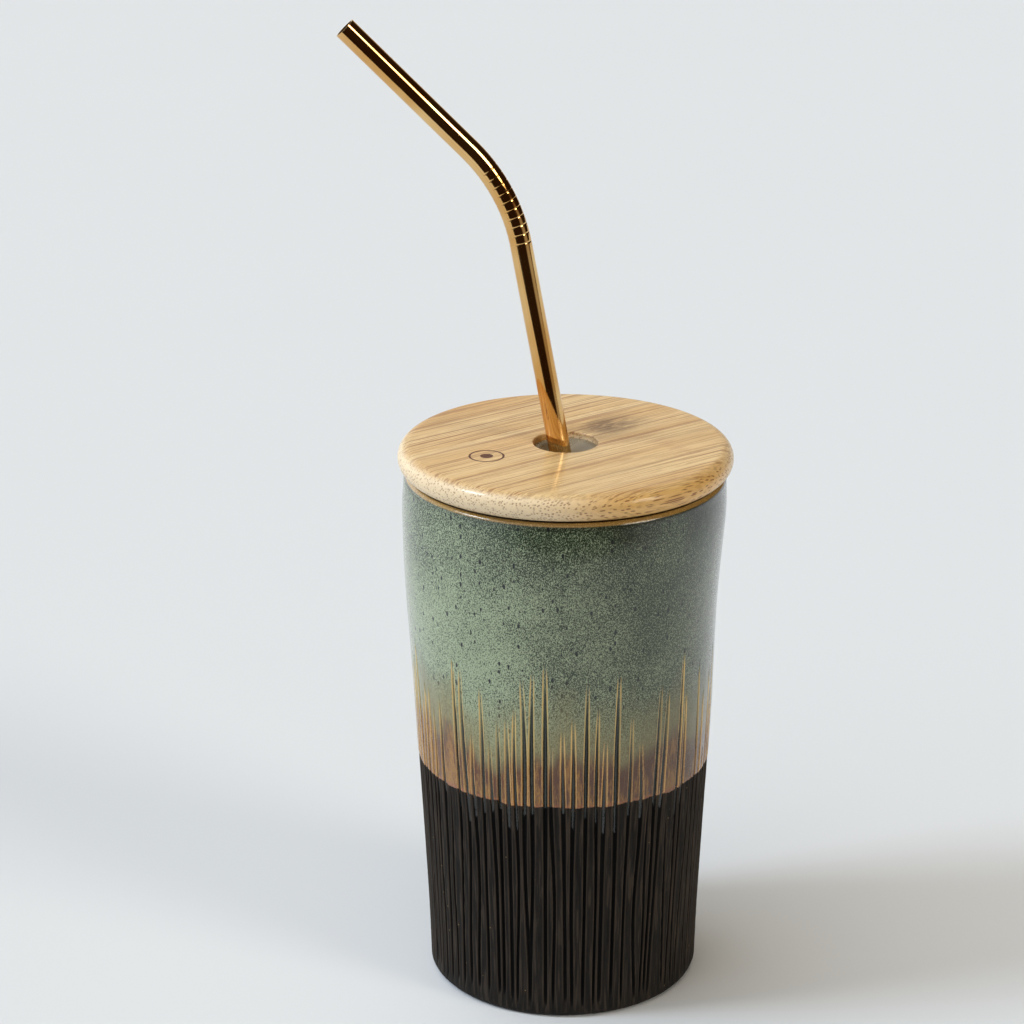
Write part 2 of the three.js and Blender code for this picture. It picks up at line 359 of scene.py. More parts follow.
class Graph:
    """The nodes of a material or a world, with one short method for each kind of node in use."""

    def __init__(self, owner):
        owner.use_nodes = True
        self.owner = owner
        self.tree = owner.node_tree
        self.tree.nodes.clear()

    def node(self, kind, inputs, **settings):
        made = self.tree.nodes.new(kind)
        for key, value in settings.items():
            setattr(made, key, value)
        for key, value in inputs.items():
            self.feed(made.inputs[key], value)
        return made

    def value(self, kind, inputs, output=0, **settings):
        return Value(self, self.node(kind, inputs, **settings).outputs[output])

    def feed(self, socket, value):
        if isinstance(value, Value):
            self.tree.links.new(value.socket, socket)
        elif isinstance(socket.default_value, float):
            socket.default_value = value
        else:
            shade = tuple(value)
            socket.default_value = shade + (1,) if len(socket.default_value) > len(shade) else shade

    def place(self):
        return self.value("ShaderNodeTexCoord", {}, "Object")

    def calc(self, operation, a, b=0.0):
        return self.value("ShaderNodeMath", {0: a, 1: b}, operation=operation)

    def either(self, a, b):
        return self.calc("MAXIMUM", a, b)

    def hypotenuse(self, a, b):
        return self.calc("SQRT", a * a + b * b)

    def rise(self, value, low, high):
        """0 below low, 1 above high, and a smooth step between. It falls when low is above high."""
        if low > high:
            return 1.0 - self.rise(value, high, low)
        ends = {"Value": value, "From Min": low, "From Max": high}
        return self.value("ShaderNodeMapRange", ends, "Result", interpolation_type="SMOOTHSTEP")

    def peak(self, value, middle, reach):
        """1 at middle, falling smoothly to 0 at reach to either side."""
        return self.rise(self.calc("ABSOLUTE", value - middle), reach, 0.0)

    def blend(self, share, a, b):
        """A colour that goes from a to b with share."""
        inputs = {"Factor": share, 6: a, 7: b}
        return self.value("ShaderNodeMix", inputs, 2, data_type="RGBA", clamp_factor=True)

    def level(self, share, a, b):
        """A number that goes from a to b with share."""
        inputs = {"Factor": share, 2: a, 3: b}
        return self.value("ShaderNodeMix", inputs, 0, data_type="FLOAT", clamp_factor=True)

    def placed(self, vector, scale=(1, 1, 1), turn=0.0, move=(0, 0, 0)):
        inputs = {"Vector": vector, "Scale": scale, "Rotation": (0, 0, turn), "Location": move}
        return self.value("ShaderNodeMapping", inputs)

    def axes(self, vector):
        return [Value(self, axis) for axis in self.node("ShaderNodeSeparateXYZ", {0: vector}).outputs]

    def noise(self, vector, scale, detail=2.0, roughness=0.5):
        inputs = {"Vector": vector, "Scale": scale, "Detail": detail, "Roughness": roughness}
        return self.value("ShaderNodeTexNoise", inputs)

    def cells(self, vector, scale, dimensions="3D"):
        """Distance to the nearest random point, and that point's own random colour."""
        inputs = {"Vector": vector, "Scale": scale}
        made = self.node("ShaderNodeTexVoronoi", inputs, voronoi_dimensions=dimensions)
        return Value(self, made.outputs["Distance"]), Value(self, made.outputs["Color"])

    def mark(self, name):
        return self.value("ShaderNodeAttribute", {}, "Fac", attribute_name=name)

    def bump(self, height, distance, strength):
        return self.value("ShaderNodeBump", {"Height": height, "Distance": distance, "Strength": strength})

    def done(self, **inputs):
        """Ends a material with a Principled shader whose inputs are named with underscores."""
        named = {key.replace("_", " "): value for key, value in inputs.items()}
        self.node("ShaderNodeOutputMaterial", {0: self.value("ShaderNodeBsdfPrincipled", named)})
        return self.owner


def finish(name):
    """The empty graph of a new material."""
    return Graph(bpy.data.materials.new(name))


# ---- Cup's finish ----


def speckled_glaze(f, cup, fine, clouds):
    """A fine dark speckle, denser in clouds and under the lip, and large iron specks: short drops round
    random points. The density also rises towards +X as painted shade on the side away from the key light.
    Returns the colour, the speckle and the specks."""
    side, _, height = f.axes(f.place())
    near_lip = f.rise(height, CUP_HIGH.z - 28 * MM, CUP_HIGH.z)
    # Painted shade: side * 1.1 makes the speckle denser and the glaze darker towards +X, away from the key
    # light.
    density = (clouds - 0.5) * 0.2 + near_lip * 0.05 + side * 1.1 + 0.02
    speckle = f.rise(fine + density, 0.43, 0.59)
    distance, chosen = f.cells(f.placed(f.place(), scale=(1, 1, 0.5)), 780)
    size = f.rise(f.axes(chosen)[0], 0.5, 1.0) * 0.33
    specks = f.rise(size - distance, 0.0, 0.07)
    return f.blend(specks, f.blend(speckle, cup.glaze, cup.speckle), cup.speck), speckle, specks


def banded_glaze(f, cup, glaze, fine, runs, clouds):
    """The glaze thins to olive and then to streaky brown above its lower edge, with a thin rust edge.
    Where the band begins wanders with the runs and clouds, and its lower edge is level."""
    side, _, height = f.axes(f.place())
    line = cup.glaze_line
    top = line + cup.band
    above = height - ((runs - 0.5) * (16 * MM) + (clouds - 0.5) * (22 * MM))
    gritty = above + (fine - 0.5) * (10 * MM)
    glaze = f.blend(f.rise(gritty, top + 22 * MM, top + 2 * MM) * 0.85, glaze, cup.olive)
    patches = f.noise(f.placed(f.place(), scale=(1, 1, 0.12)), 1000, 4, 0.75)
    streaky = patches + f.rise(above, line + 12 * MM, line) * 0.1 + (runs - 0.5) * 0.5
    brown = f.blend(f.rise(streaky, 0.48, 0.7), cup.brown, cup.honey)
    glaze = f.blend(f.rise(gritty, top + 3.5 * MM, top - 3.5 * MM), glaze, brown)
    glaze = f.blend(f.rise(height, line + 1.6 * MM, line + 0.3 * MM) * 0.8, glaze, cup.rust)

    # It is darker towards +X, as painted shade on the side away from the key light, and gritty over the
    # band.
    painted_side_shade = f.rise(side, -26 * MM, 34 * MM) * 0.4
    glaze = f.blend(painted_side_shade, glaze, f.blend(0.15, cup.speckle, cup.umber))
    grit = f.rise(above, top + 14 * MM, top) * f.rise(fine, 0.44, 0.6) * 0.55
    return f.blend(grit, glaze, f.blend(0.5, cup.umber, cup.brown))


def glaze_in_lines(f, cup, glaze, fine, runs, carved, shoulder):
    """Tan where the glaze breaks over the shoulders of the carved lines, slate where it pools in them, and
    nearly black where it has run down past its lower edge, darkened partly as painted shade deep in the
    lines."""
    height = f.axes(f.place())[2]
    line = cup.glaze_line
    edge = f.blend(f.rise(height, line + 26 * MM, line + 4 * MM) * 0.45, cup.tan, cup.rust)
    worn = f.rise(shoulder + (fine - 0.5) * 0.9, 0.3, 0.9)
    worn = worn * f.rise(height, line - 1.4 * MM, line - 0.6 * MM)
    glaze = f.blend(worn * f.level(f.rise(runs, 0.3, 0.6), 0.35, 1.0), glaze, edge)
    pool = f.blend(f.rise(runs, 0.4, 0.65), cup.slate, f.blend(0.5, cup.slate, cup.speck))
    # Partly painted shade: past the glaze's lower edge the pooled glaze goes nearly black, for the shade in
    # the carved lines.
    pool = f.blend(f.rise(height, line + 1 * MM, line - 6 * MM) * 0.85, pool, cup.deep)
    below = f.rise(height, line - 0.9 * MM, line - 1.5 * MM)
    return f.blend(f.either(f.rise(carved, 0.34, 0.66), below), glaze, pool)


def lip_glaze(f, cup, glaze, speckle, clouds, lip):
    """A faint umber band and umber clouds towards +X under the lip, amber where the glaze breaks over the
    lip, and painted shadow of the lid in umber on the lip's crown.
    """
    side, _, height = f.axes(f.place())
    top = CUP_HIGH.z
    under = f.rise(height, top - 3.2 * MM, top - 1.5 * MM) * (1.0 - f.mark("lining"))
    glaze = f.blend(under * 0.35, glaze, cup.umber)
    smear = f.rise(side, -4 * MM, 30 * MM) * f.rise(height, top - 15 * MM, top - 3 * MM)
    glaze = f.blend(smear * f.rise(clouds, 0.35, 0.62) * 0.6, glaze, cup.umber)
    glaze = f.blend(lip, glaze, f.blend(speckle * 0.5, cup.amber, cup.umber))
    # Painted shadow: the lip's crown under the lid's edge is darkened to umber.
    crown = f.rise(height, top - 0.5 * MM, top - 0.35 * MM)
    return f.blend(crown * 0.95, glaze, cup.umber)


def bare_clay(f, cup, grain, streaks, carved, shoulder):
    """Matte gritty stoneware with paler streaks and grains of grog, painted highlights on the carved lines'
    shoulders, and painted shade near black in the lines.
    """
    clay = f.blend(f.rise(grain, 0.3, 0.7), f.blend(0.5, cup.clay, cup.speck), cup.clay)
    clay = f.blend(f.rise(streaks, 0.5, 0.66) * 0.5, clay, cup.ridge)
    clay = f.blend(f.rise(streaks, 0.46, 0.34) * 0.7, clay, cup.soot)
    # Painted highlight: the shoulders of the carved lines are lightened to the ridge colour, standing for
    # light caught on the edges.
    clay = f.blend(shoulder * 0.6, clay, cup.ridge)
    distance, chosen = f.cells(f.place(), 520)
    grog = f.rise(distance, 0.15, 0.08) * f.rise(f.axes(chosen)[1], 0.85, 0.95)
    clay = f.blend(grog * 0.5, clay, f.blend(0.3, cup.ridge, cup.tan))
    # Painted shade: the carved lines in the bare stoneware are darkened to near black, deeper than their
    # geometry shades them.
    return f.blend(f.rise(carved, 0.05, 0.42) * 0.93, clay, cup.groove)


def glazed_stoneware(cup):
    """Speckled glaze over a brown band over bare clay, with the carved lines' own glaze."""
    f = finish("glazed_stoneware")
    height = f.axes(f.place())[2]
    carved, shoulder, lining = f.mark("carved"), f.mark("shoulder"), f.mark("lining")
    runs = f.noise(f.placed(f.place(), scale=(1, 1, 0.12)), 150, 3)
    clouds = f.noise(f.place(), 42, 3)
    fine = f.noise(f.placed(f.place(), scale=(1, 1, 0.8)), 3400, 3, 0.7)
    grain = f.noise(f.place(), 900, 4, 0.65)
    streaks = f.noise(f.placed(f.place(), scale=(1, 1, 0.05)), 1100, 2)
    lip = f.rise(height, CUP_HIGH.z - 1.45 * MM, CUP_HIGH.z - 1.1 * MM) * (1.0 - lining)

    glaze, speckle, specks = speckled_glaze(f, cup, fine, clouds)
    glaze = banded_glaze(f, cup, glaze, fine, runs, clouds)
    glaze = glaze_in_lines(f, cup, glaze, fine, runs, carved, shoulder)
    glaze = lip_glaze(f, cup, glaze, speckle, clouds, lip)
    clay = bare_clay(f, cup, grain, streaks, carved, shoulder)

    # The glaze covers the lining and all above its ragged edge, which runs down inside the lines.
    run = f.rise(carved, 0.36, 0.7) * f.rise(runs, 0.3, 0.7) * cup.glaze_run
    reach = height + run + (grain - 0.5) * MM + (runs - 0.5) * (2.4 * MM)
    edge = f.rise(reach, cup.glaze_line - 0.15 * MM, cup.glaze_line + 0.25 * MM)
    glazed = f.either(edge, f.rise(lining, 0.3, 0.7))
    satin = f.level(lip, f.level(speckle, 0.22, 0.32), 0.12)
    rough = f.level(glazed, f.level(grain, 0.66, 0.86), satin)
    glaze_skin = fine * 0.25 + f.noise(f.place(), 260, 2) - specks * 0.5 + 1.2
    normal = f.bump(f.level(glazed, grain + streaks, glaze_skin), 0.12 * MM, 0.8)
    return f.done(
        Base_Color=f.blend(glazed, clay, glaze), Roughness=rough, Normal=normal,
        IOR=1.5, Specular_IOR_Level=0.15,
        Coat_Weight=glazed, Coat_Roughness=0.17, Coat_IOR=1.52, Coat_Normal=normal,
    )


# ---- Lid's finish ----


def fibres(f, lid, along_grain, fibre):
    """Pale and warm laminated strips with fine lines drawn out along the grain, and a thin seam between
    one strip and the next."""
    across = f.axes(along_grain)[1]
    strips = (across + lid.strip_shift) * (1 / lid.strip_width)
    tone = f.value("ShaderNodeTexWhiteNoise", {"W": f.calc("FLOOR", strips)}, noise_dimensions="1D")
    broad = f.noise(f.placed(along_grain, scale=(0.02, 1, 1)), 90, 2, 0.6)
    shade = f.blend(f.rise(broad + (tone - 0.5) * 0.25, 0.28, 0.74), lid.pale, lid.warm)
    shade = f.blend(f.rise(fibre, 0.46, 0.6) * 0.38, shade, lid.line)
    seam = f.rise(f.peak(f.calc("FRACT", strips), 0.5, 0.5), 0.02, 0.0)
    return f.blend(seam * 0.4, shade, lid.line)


def vessels(f, along_grain):
    """Fibre bundles in section, each a dark thread that runs along the grain in dashes."""
    _, across, up = f.axes(along_grain)
    sway = f.noise(f.placed(along_grain, scale=(1, 0.3, 0.3)), 45, 1) * (0.9 * MM)
    section = f.value("ShaderNodeCombineXYZ", {0: across + sway, 1: up})
    distance, chosen = f.cells(section, 1500, dimensions="2D")
    dashes = f.rise(f.noise(f.placed(along_grain, scale=(0.3, 1, 1)), 900, 1), 0.38, 0.52)
    return f.rise(distance, 0.4, 0.2) * f.rise(f.axes(chosen)[0], 0.1, 0.4) * dashes


def cane_node(f, lid, shade, along_grain, fibre):
    """The cane's node crosses the grain: a smoky stain in one strip and red-brown streaks in another."""
    along, across, _ = f.axes(along_grain)
    blotch = f.noise(f.placed(along_grain, scale=(0.3, 1, 1)), 300, 4, 0.75)
    node = along + (blotch - 0.5) * (14 * MM)
    stain = f.peak(node, 19 * MM, 17 * MM) * f.peak(across, 4 * MM, 11 * MM)
    shade = f.blend(stain * f.rise(blotch, 0.28, 0.58), shade, lid.stain)
    streak = f.peak(node, 21 * MM, 4 * MM) * f.peak(across, -20 * MM, 14 * MM)
    return f.blend(streak * f.rise(fibre, 0.35, 0.6) * 0.45, shade, lid.blush)


def rounded_edge(f, lid, shade, along_grain, vessel):
    """The disc's rounded edge: pale with dots where it cuts the fibres' ends, golden with dashes where
    it runs along them, by how much of the way out from the centre is along the grain. The pale tone is
    partly the end grain's own and partly painted light on the rounded edge."""
    along, across, up = f.axes(along_grain)
    rounded = f.rise(up, DISC_HIGH.z - 0.2 * MM, DISC_HIGH.z - 1.6 * MM)
    end_grain = f.rise(f.calc("ABSOLUTE", along) / f.hypotenuse(along, across), 0.25, 0.75)
    tone = f.blend(end_grain, lid.golden, lid.rim)
    # Partly painted light: the rounded edge takes a near-white tone where it cuts the fibres' ends.
    shade = f.blend(rounded * f.level(end_grain, 0.65, 0.85), shade, tone)
    return f.blend(rounded * vessel * f.level(end_grain, 0.85, 0.6), shade, lid.line)


def ring_mark(f):
    """A plain burnt mark: an open ring around a dot, the distance to its centre held near two values."""
    x, y, z = f.axes(f.placed(f.place(), move=(21.5 * MM, 12 * MM, 0)))
    reach = f.hypotenuse(x, y)
    ring = f.peak(reach, 4.6 * MM, 0.5 * MM)
    dot = f.rise(reach, 1.9 * MM, 1.6 * MM)
    top = f.rise(z, DISC_HIGH.z - 1 * MM, DISC_HIGH.z - 0.5 * MM)
    return f.rise(f.either(ring, dot), 0.2, 0.6) * top


def bamboo(name, lid, grain_angle, marked):
    """Bamboo ply: fibre bundles that run along the grain, so that they show as lines on a face and as
    dots where the edge cuts across them, a few laminated strips, and the marks of one cane node."""
    f = finish(name)
    along_grain = f.placed(f.place(), turn=-grain_angle)
    fibre = f.noise(f.placed(along_grain, scale=(0.02, 1, 1)), 2300, 3, 0.7)
    vessel = vessels(f, along_grain)
    patchy = f.rise(f.noise(f.placed(along_grain, scale=(0.3, 1, 1)), 60, 2), 0.35, 0.62)
    vein = f.rise(f.noise(f.placed(along_grain, scale=(0.006, 1, 0.5)), 1600, 1), 0.57, 0.64)
    shade = fibres(f, lid, along_grain, fibre)
    shade = f.blend(vessel * f.level(patchy, 0.05, 0.2), shade, lid.line)
    shade = f.blend(vein * f.level(patchy, 0.3, 0.7), shade, lid.line)
    shade = cane_node(f, lid, shade, along_grain, fibre)
    shade = rounded_edge(f, lid, shade, along_grain, vessel)
    burnt, coat = 0.0, lid.coat
    if marked:
        burnt = ring_mark(f)
        shade = f.blend(burnt, shade, lid.burn)
        coat = f.level(burnt, lid.coat, 0.0)
    normal = f.bump(fibre * 0.6 - vessel - burnt * 2.0, 0.07 * MM, 0.8)
    return f.done(
        Base_Color=shade, Roughness=f.level(fibre, 0.4, 0.52) + vessel * 0.15, Normal=normal,
        IOR=1.5, Coat_Weight=coat, Coat_Roughness=0.13,
    )


# ---- Steel and silicone ----


def gold_steel(straw):
    """Polished gold-coloured steel: faint drawing lines along the tube and a soft change of tone."""
    f = finish("gold_steel")
    uv = f.value("ShaderNodeUVMap", {}, uv_map="along")
    drawn = f.noise(f.placed(uv, scale=(1, 0.02, 1)), 60, 3, 0.6)
    tone = f.rise(f.noise(f.place(), 45, 2), 0.3, 0.7)
    smear = f.rise(f.noise(f.place(), 220, 3, 0.6), 0.5, 0.75)
    shade = f.blend(tone, straw.gold, straw.bronze)
    shade = f.blend(f.rise(drawn, 0.46, 0.6) * 0.45, shade, straw.bronze)
    rough = f.level(drawn, 0.05, 0.1) + smear * 0.04
    return f.done(Base_Color=shade, Metallic=1.0, Roughness=rough, Normal=f.bump(drawn, 0.01 * MM, 0.3))


def soft_silicone(name, shade, clear):
    """Soft silicone: cloudy, with dust-fine grain and a slightly uneven sheen."""
    f = finish(name)
    cloud = f.noise(f.place(), 300, 3)
    grain = f.noise(f.place(), 4000, 2)
    cloudy = f.blend(f.rise(cloud, 0.35, 0.75) * 0.35, shade, tuple(0.72 * x for x in shade))
    return f.done(
        Base_Color=cloudy, IOR=1.41,
        Roughness=f.level(cloud, 0.2, 0.36) if clear else f.level(cloud, 0.38, 0.52),
        Normal=f.bump(cloud + grain * 0.2, 0.05 * MM, 0.5),
        Transmission_Weight=0.55 if clear else 0.0,
        Subsurface_Weight=0.0 if clear else 0.35,
        Subsurface_Radius=(1.0, 1.0, 1.0), Subsurface_Scale=1.5 * MM,
    )


# ---- Cup ----

FINE_COLUMNS = 1200
COARSE_COLUMNS = 300
GLAZE_STEP = 0.12 * MM  # thickness of the glaze
TOP_TAPER, FOOT_TAPER = 26 * MM, 4 * MM  # lengths over which a carved line runs out at its ends
SHOULDER_REACH, SHOULDER_RISE = 0.27 * MM, 0.06 * MM  # the raised burr beside a carved line
FULL_HEIGHT, FULL_REACH = 116 * MM, 24 * MM  # where the wall leans out furthest, and over what height

# The wall's outline: (share of the height, share of the flare), steepest in the middle.
WALL_SHAPE = [
    (0, 0), (0.107, 0.066), (0.286, 0.262), (0.5, 0.525),
    (0.707, 0.754), (0.873, 0.967), (0.949, 1.04), (1, 1),
]


def flare(share):
    """Share of the cup's flare at a share of its height, on a smooth line through the outline."""
    line = smooth_line(WALL_SHAPE, 200)
    return np.interp(share, line[:, 0], line[:, 1])


def wall_radius(cup, height, angles):
    """Outside radius of the thrown wall: a smooth line from the foot to the lip, plus a one-sided
    fullness that follows the cosine of the angle, and a faint wobble of three and five lobes."""
    low, high = cup.foot_round, CUP_HIGH.z - cup.wall / 2
    radius = cup.foot_radius + flare((height - low) / (high - low)) * (CUP_HIGH.x - cup.foot_radius)
    swell = np.exp(-(((height - FULL_HEIGHT) / FULL_REACH) ** 2))
    wobble = 0.1 * MM * np.cos(3 * angles + 1 + 20 * height) + 0.07 * MM * np.cos(5 * angles + 45 * height)
    fade = np.clip((high - height) / (20 * MM), 0, 1)
    return radius - cup.fullness * swell * np.cos(angles) + wobble * fade


def carved_lines(cup):
    """Random draws for the carved lines: each has an angle, a top, a foot, a width, a depth, a slant and
    a sway. They follow one another round the cup with an uneven step, and a few are short and lean
    enough to cross the next one."""
    rng = np.random.default_rng(cup.seed)
    steps = rng.uniform(0.6, 1.4, cup.cuts)
    start = np.cumsum(steps) / steps.sum() * 2 * math.pi
    tops = cup.cut_low_top + (cup.cut_high_top - cup.cut_low_top) * rng.beta(1.6, 2.1, cup.cuts)
    feet = cup.cut_foot + rng.uniform(0, 2.5 * MM, cup.cuts)
    widths = cup.cut_width * rng.uniform(0.75, 1.15, cup.cuts)
    depths = cup.cut_depth * rng.uniform(0.85, 1.15, cup.cuts)
    slants = rng.normal(0, 0.8, cup.cuts) * MM
    sways = rng.normal(0, 0.25, cup.cuts) * MM
    short = rng.random(cup.cuts) < 0.12
    tops[short] = rng.uniform(58 * MM, 78 * MM, short.sum())
    slants[short] *= 2.6
    return zip(start, tops, feet, widths, depths, slants, sways)


def carving(cup, height, angles, radius):
    """Depth of the carved lines, as a share of the usual depth, and how near a point is to a shoulder.
    A line's section is a rounded V: one less the power 1.7 of the distance from its middle, all to the
    power 0.8. Its width and depth run out over a long top and a short foot."""
    depth = np.zeros_like(radius)
    shoulder = np.zeros_like(radius)
    for start, top, foot, width, deep, slant, sway in carved_lines(cup):
        share = np.clip((height - foot) / (top - foot), 0, 1)
        middle = start + (slant * (share - 0.5) + sway * np.sin(2 * math.pi * share * 1.3 + start)) / radius
        away = np.abs((angles - middle + math.pi) % (2 * math.pi) - math.pi) * radius
        taper = np.clip((top - height) / TOP_TAPER, 0, 1) ** 0.6
        narrow = 1 - 0.25 * np.clip((62 * MM - height) / (20 * MM), 0, 1)
        half = 0.5 * width * (0.35 + 0.65 * taper) * narrow
        fade = np.clip((height - foot) / FOOT_TAPER, 0, 1) ** 0.7
        cut = fade * taper * deep / cup.cut_depth * np.clip(1 - (away / half) ** 1.7, 0, 1) ** 0.8
        rim = np.exp(-(((away - half) / SHOULDER_REACH) ** 2)) * np.clip(taper * 2.5, 0, 1) * fade
        depth = np.maximum(depth, cut)
        shoulder = np.maximum(shoulder, rim)
    return depth, shoulder * np.clip(1 - 1.2 * depth, 0, 1)


def fine_wall(cup):
    """Outside wall from the foot to just over the carved lines: rows of height with extra ones at the
    glaze's edge, radius of the thrown wall less the carving, and a thin step where the glaze begins."""
    line = cup.glaze_line
    heights = np.concatenate([
        sweep(cup.foot_round, line - 1 * MM, 28),
        [line - 1 * MM, line - 0.4 * MM, line, line + 0.4 * MM],
        np.linspace(line + 1.2 * MM, cup.cut_high_top + 2 * MM, 24),
    ])
    height = heights[:, None]
    angles = sweep(0, 2 * math.pi, FINE_COLUMNS)[None, :]
    radius = wall_radius(cup, height, angles)
    depth, shoulder = carving(cup, height, angles, radius)
    step = GLAZE_STEP * np.clip((height - line) / (0.4 * MM), 0, 1)
    radius = radius - depth * cup.cut_depth + shoulder * SHOULDER_RISE + step
    return ring_points(radius, np.broadcast_to(height, radius.shape), FINE_COLUMNS), depth, shoulder


def upper_wall(cup):
    """Outside wall over the carved lines, the lip as a half circle whose top dips a little round the
    mouth, and the inside wall down to the floor with the spiral rings that throwing leaves."""
    lip = cup.wall / 2
    lip_height = CUP_HIGH.z - lip
    angles = sweep(0, 2 * math.pi, COARSE_COLUMNS)[None, :]
    heights = np.linspace(cup.cut_high_top + 4.5 * MM, lip_height, 18)[:, None]
    thinning = np.clip((lip_height - heights) / (10 * MM), 0, 1)
    outside = wall_radius(cup, heights, angles) + GLAZE_STEP * thinning
    curl = arc(CUP_HIGH.x - lip, lip_height, lip, 15, 165, 11)
    mouth = CUP_HIGH.x - cup.wall
    floor_radius = cup.foot_radius - cup.wall
    low = cup.floor + cup.floor_round
    high = CUP_HIGH.z - cup.mouth_depth
    straight = np.column_stack([[mouth] * 5, sweep(lip_height, high, 5)])
    down = np.linspace(high, low, 40)
    share = np.minimum(flare((down - low) / (high - low)), 1)
    flared = np.column_stack([floor_radius + share * (mouth - floor_radius), down])
    corner = arc(floor_radius - cup.floor_round, low, cup.floor_round, 0, -90, 9)[1:]
    rows = np.vstack([curl, straight, flared, corner, [[floor_radius * 0.45, cup.floor]]])
    radius = np.broadcast_to(rows[:, :1], (len(rows), COARSE_COLUMNS)).copy()
    height = np.broadcast_to(rows[:, 1:], radius.shape).copy()
    ridge = np.clip((high - height) / (10 * MM), 0, 1) * np.clip((height - low) / (10 * MM), 0, 1)
    radius += 0.13 * MM * ridge * np.sin(2 * math.pi * height / (6.4 * MM) + angles)
    dip = 0.14 * MM * (1 - np.cos(2 * angles + 0.7)) / 2
    height[: len(curl)] -= dip * (height[: len(curl)] - lip_height) / lip
    grid = np.concatenate([
        ring_points(outside, np.broadcast_to(heights, outside.shape), COARSE_COLUMNS),
        ring_points(radius, height, COARSE_COLUMNS),
    ])
    lining = np.zeros(grid.shape[:2])
    lining[len(heights) + len(curl) - 3:] = 1
    return grid, lining


def cup_surface(cup):
    """The whole cup as rings from the middle of its base to the middle of its floor. The carved wall has
    four times the columns of the rest, and stitched rings join the two."""
    foot = arc(cup.foot_radius - cup.foot_round, cup.foot_round, cup.foot_round, -90, 0, 6)
    base = np.array([[0.3, 0], [0.7, 0], [0.93, 0]]) * (cup.foot_radius - cup.foot_round)
    base_grid = ring_points(base[:, 0], base[:, 1], COARSE_COLUMNS)
    foot_grid = ring_points(foot[:-1, 0], foot[:-1, 1], FINE_COLUMNS)
    wall_grid, depth, shoulder = fine_wall(cup)
    fine_grid = np.concatenate([foot_grid, wall_grid])
    upper_grid, lining = upper_wall(cup)
    parts = [base_grid, fine_grid, upper_grid]
    starts = np.cumsum([1] + [g.shape[0] * g.shape[1] for g in parts])
    last = starts[-1]
    faces = [quads(g.shape[0], g.shape[1], first) for g, first in zip(parts, starts)]

    def ring(part, row):
        columns = parts[part].shape[1]
        return starts[part] + (row % parts[part].shape[0]) * columns + np.arange(columns)

    faces += [
        fan(0, ring(0, 0), outward=True),
        stitch(ring(1, 0), ring(0, -1), fine_first=False),
        stitch(ring(1, -1), ring(2, 0), fine_first=True),
        fan(last, ring(2, -1), outward=False),
    ]
    points = np.vstack([[[0, 0, 0]], *(g.reshape(-1, 3) for g in parts), [[0, 0, cup.floor]]])
    marks = {name: np.zeros(len(points)) for name in ("carved", "shoulder", "lining")}
    wall_start = starts[1] + foot_grid.shape[0] * FINE_COLUMNS
    marks["carved"][wall_start:starts[2]] = depth.ravel()
    marks["shoulder"][wall_start:starts[2]] = shoulder.ravel()
    marks["lining"][starts[2]:last] = lining.ravel()
    marks["lining"][last] = 1
    return points, faces, marks


class TUMBLER_OT_cup(bpy.types.Operator):
    """Builds the stoneware cup with its carved lines"""

    bl_idname = "tumbler.cup"
    bl_label = "Cup"

    def execute(self, context):
        cup = context.scene.tumbler.cup
        points, faces, marks = cup_surface(cup)
        add_piece(
            "stoneware_cup", points, faces, "cup", "cup", glazed_stoneware(cup),
            marks=marks, crease=180,
        )
        return {"FINISHED"}


# ---- Lid ----

LID_COLUMNS = 256


def disc_profile(lid):
    """Flat faces, a half circle round the edge and a small arc over the top of the straw hole."""
    edge = (DISC_HIGH.z - DISC_LOW.z) / 2
    hole, ease = lid.hole_radius, lid.hole_ease
    return np.vstack([
        arc(DISC_HIGH.x - edge, DISC_LOW.z + edge, edge, -90, 90, 33),
        [[(DISC_HIGH.x + hole) / 2, DISC_HIGH.z]],
        arc(hole + ease, DISC_HIGH.z - ease, ease, 90, 180, 7),
        [[hole, DISC_LOW.z], [(DISC_HIGH.x + hole) / 2, DISC_LOW.z]],
    ])


def plug_profile(lid):
    """A short cylinder with a rounded lower edge, a groove for the seal and a straw hole."""
    middle = (PLUG_LOW.z + PLUG_HIGH.z) / 2
    half, floor = lid.groove_width / 2, PLUG_HIGH.x - lid.groove_depth
    rounding, ease = lid.plug_round, 0.25 * MM
    return np.vstack([
        arc(lid.hole_radius + ease, PLUG_LOW.z + ease, ease, 180, 270, 5),
        arc(PLUG_HIGH.x - rounding, PLUG_LOW.z + rounding, rounding, -90, 0, 9),
        arc(PLUG_HIGH.x - ease, middle - half - ease, ease, 0, 90, 5),
        [[floor, middle - half], [floor, middle + half]],
        arc(PLUG_HIGH.x - ease, middle + half + ease, ease, -90, 0, 5),
        [[PLUG_HIGH.x, PLUG_HIGH.z], [lid.hole_radius, PLUG_HIGH.z]],
    ])


def seal_profile(silicone, groove_depth):
    """A ring with two thin round-ended lips, whose roots are rounded into the web between them."""
    inner = PLUG_HIGH.x - groove_depth + silicone.seal_fit
    round_end, fillet = silicone.seal_lip / 2, silicone.seal_fillet
    reach = SEAL_HIGH.x - round_end
    root = PLUG_HIGH.x - silicone.seal_fit + fillet
    low, high = SEAL_LOW.z, SEAL_HIGH.z
    return np.vstack([
        [[inner, low]],
        arc(reach, low + round_end, round_end, -90, 90, 13),
        arc(root, low + silicone.seal_lip + fillet, fillet, 270, 180, 5),
        arc(root, high - silicone.seal_lip - fillet, fillet, 180, 90, 5),
        arc(reach, high - round_end, round_end, -90, 90, 13),
        [[inner, high]],
    ])


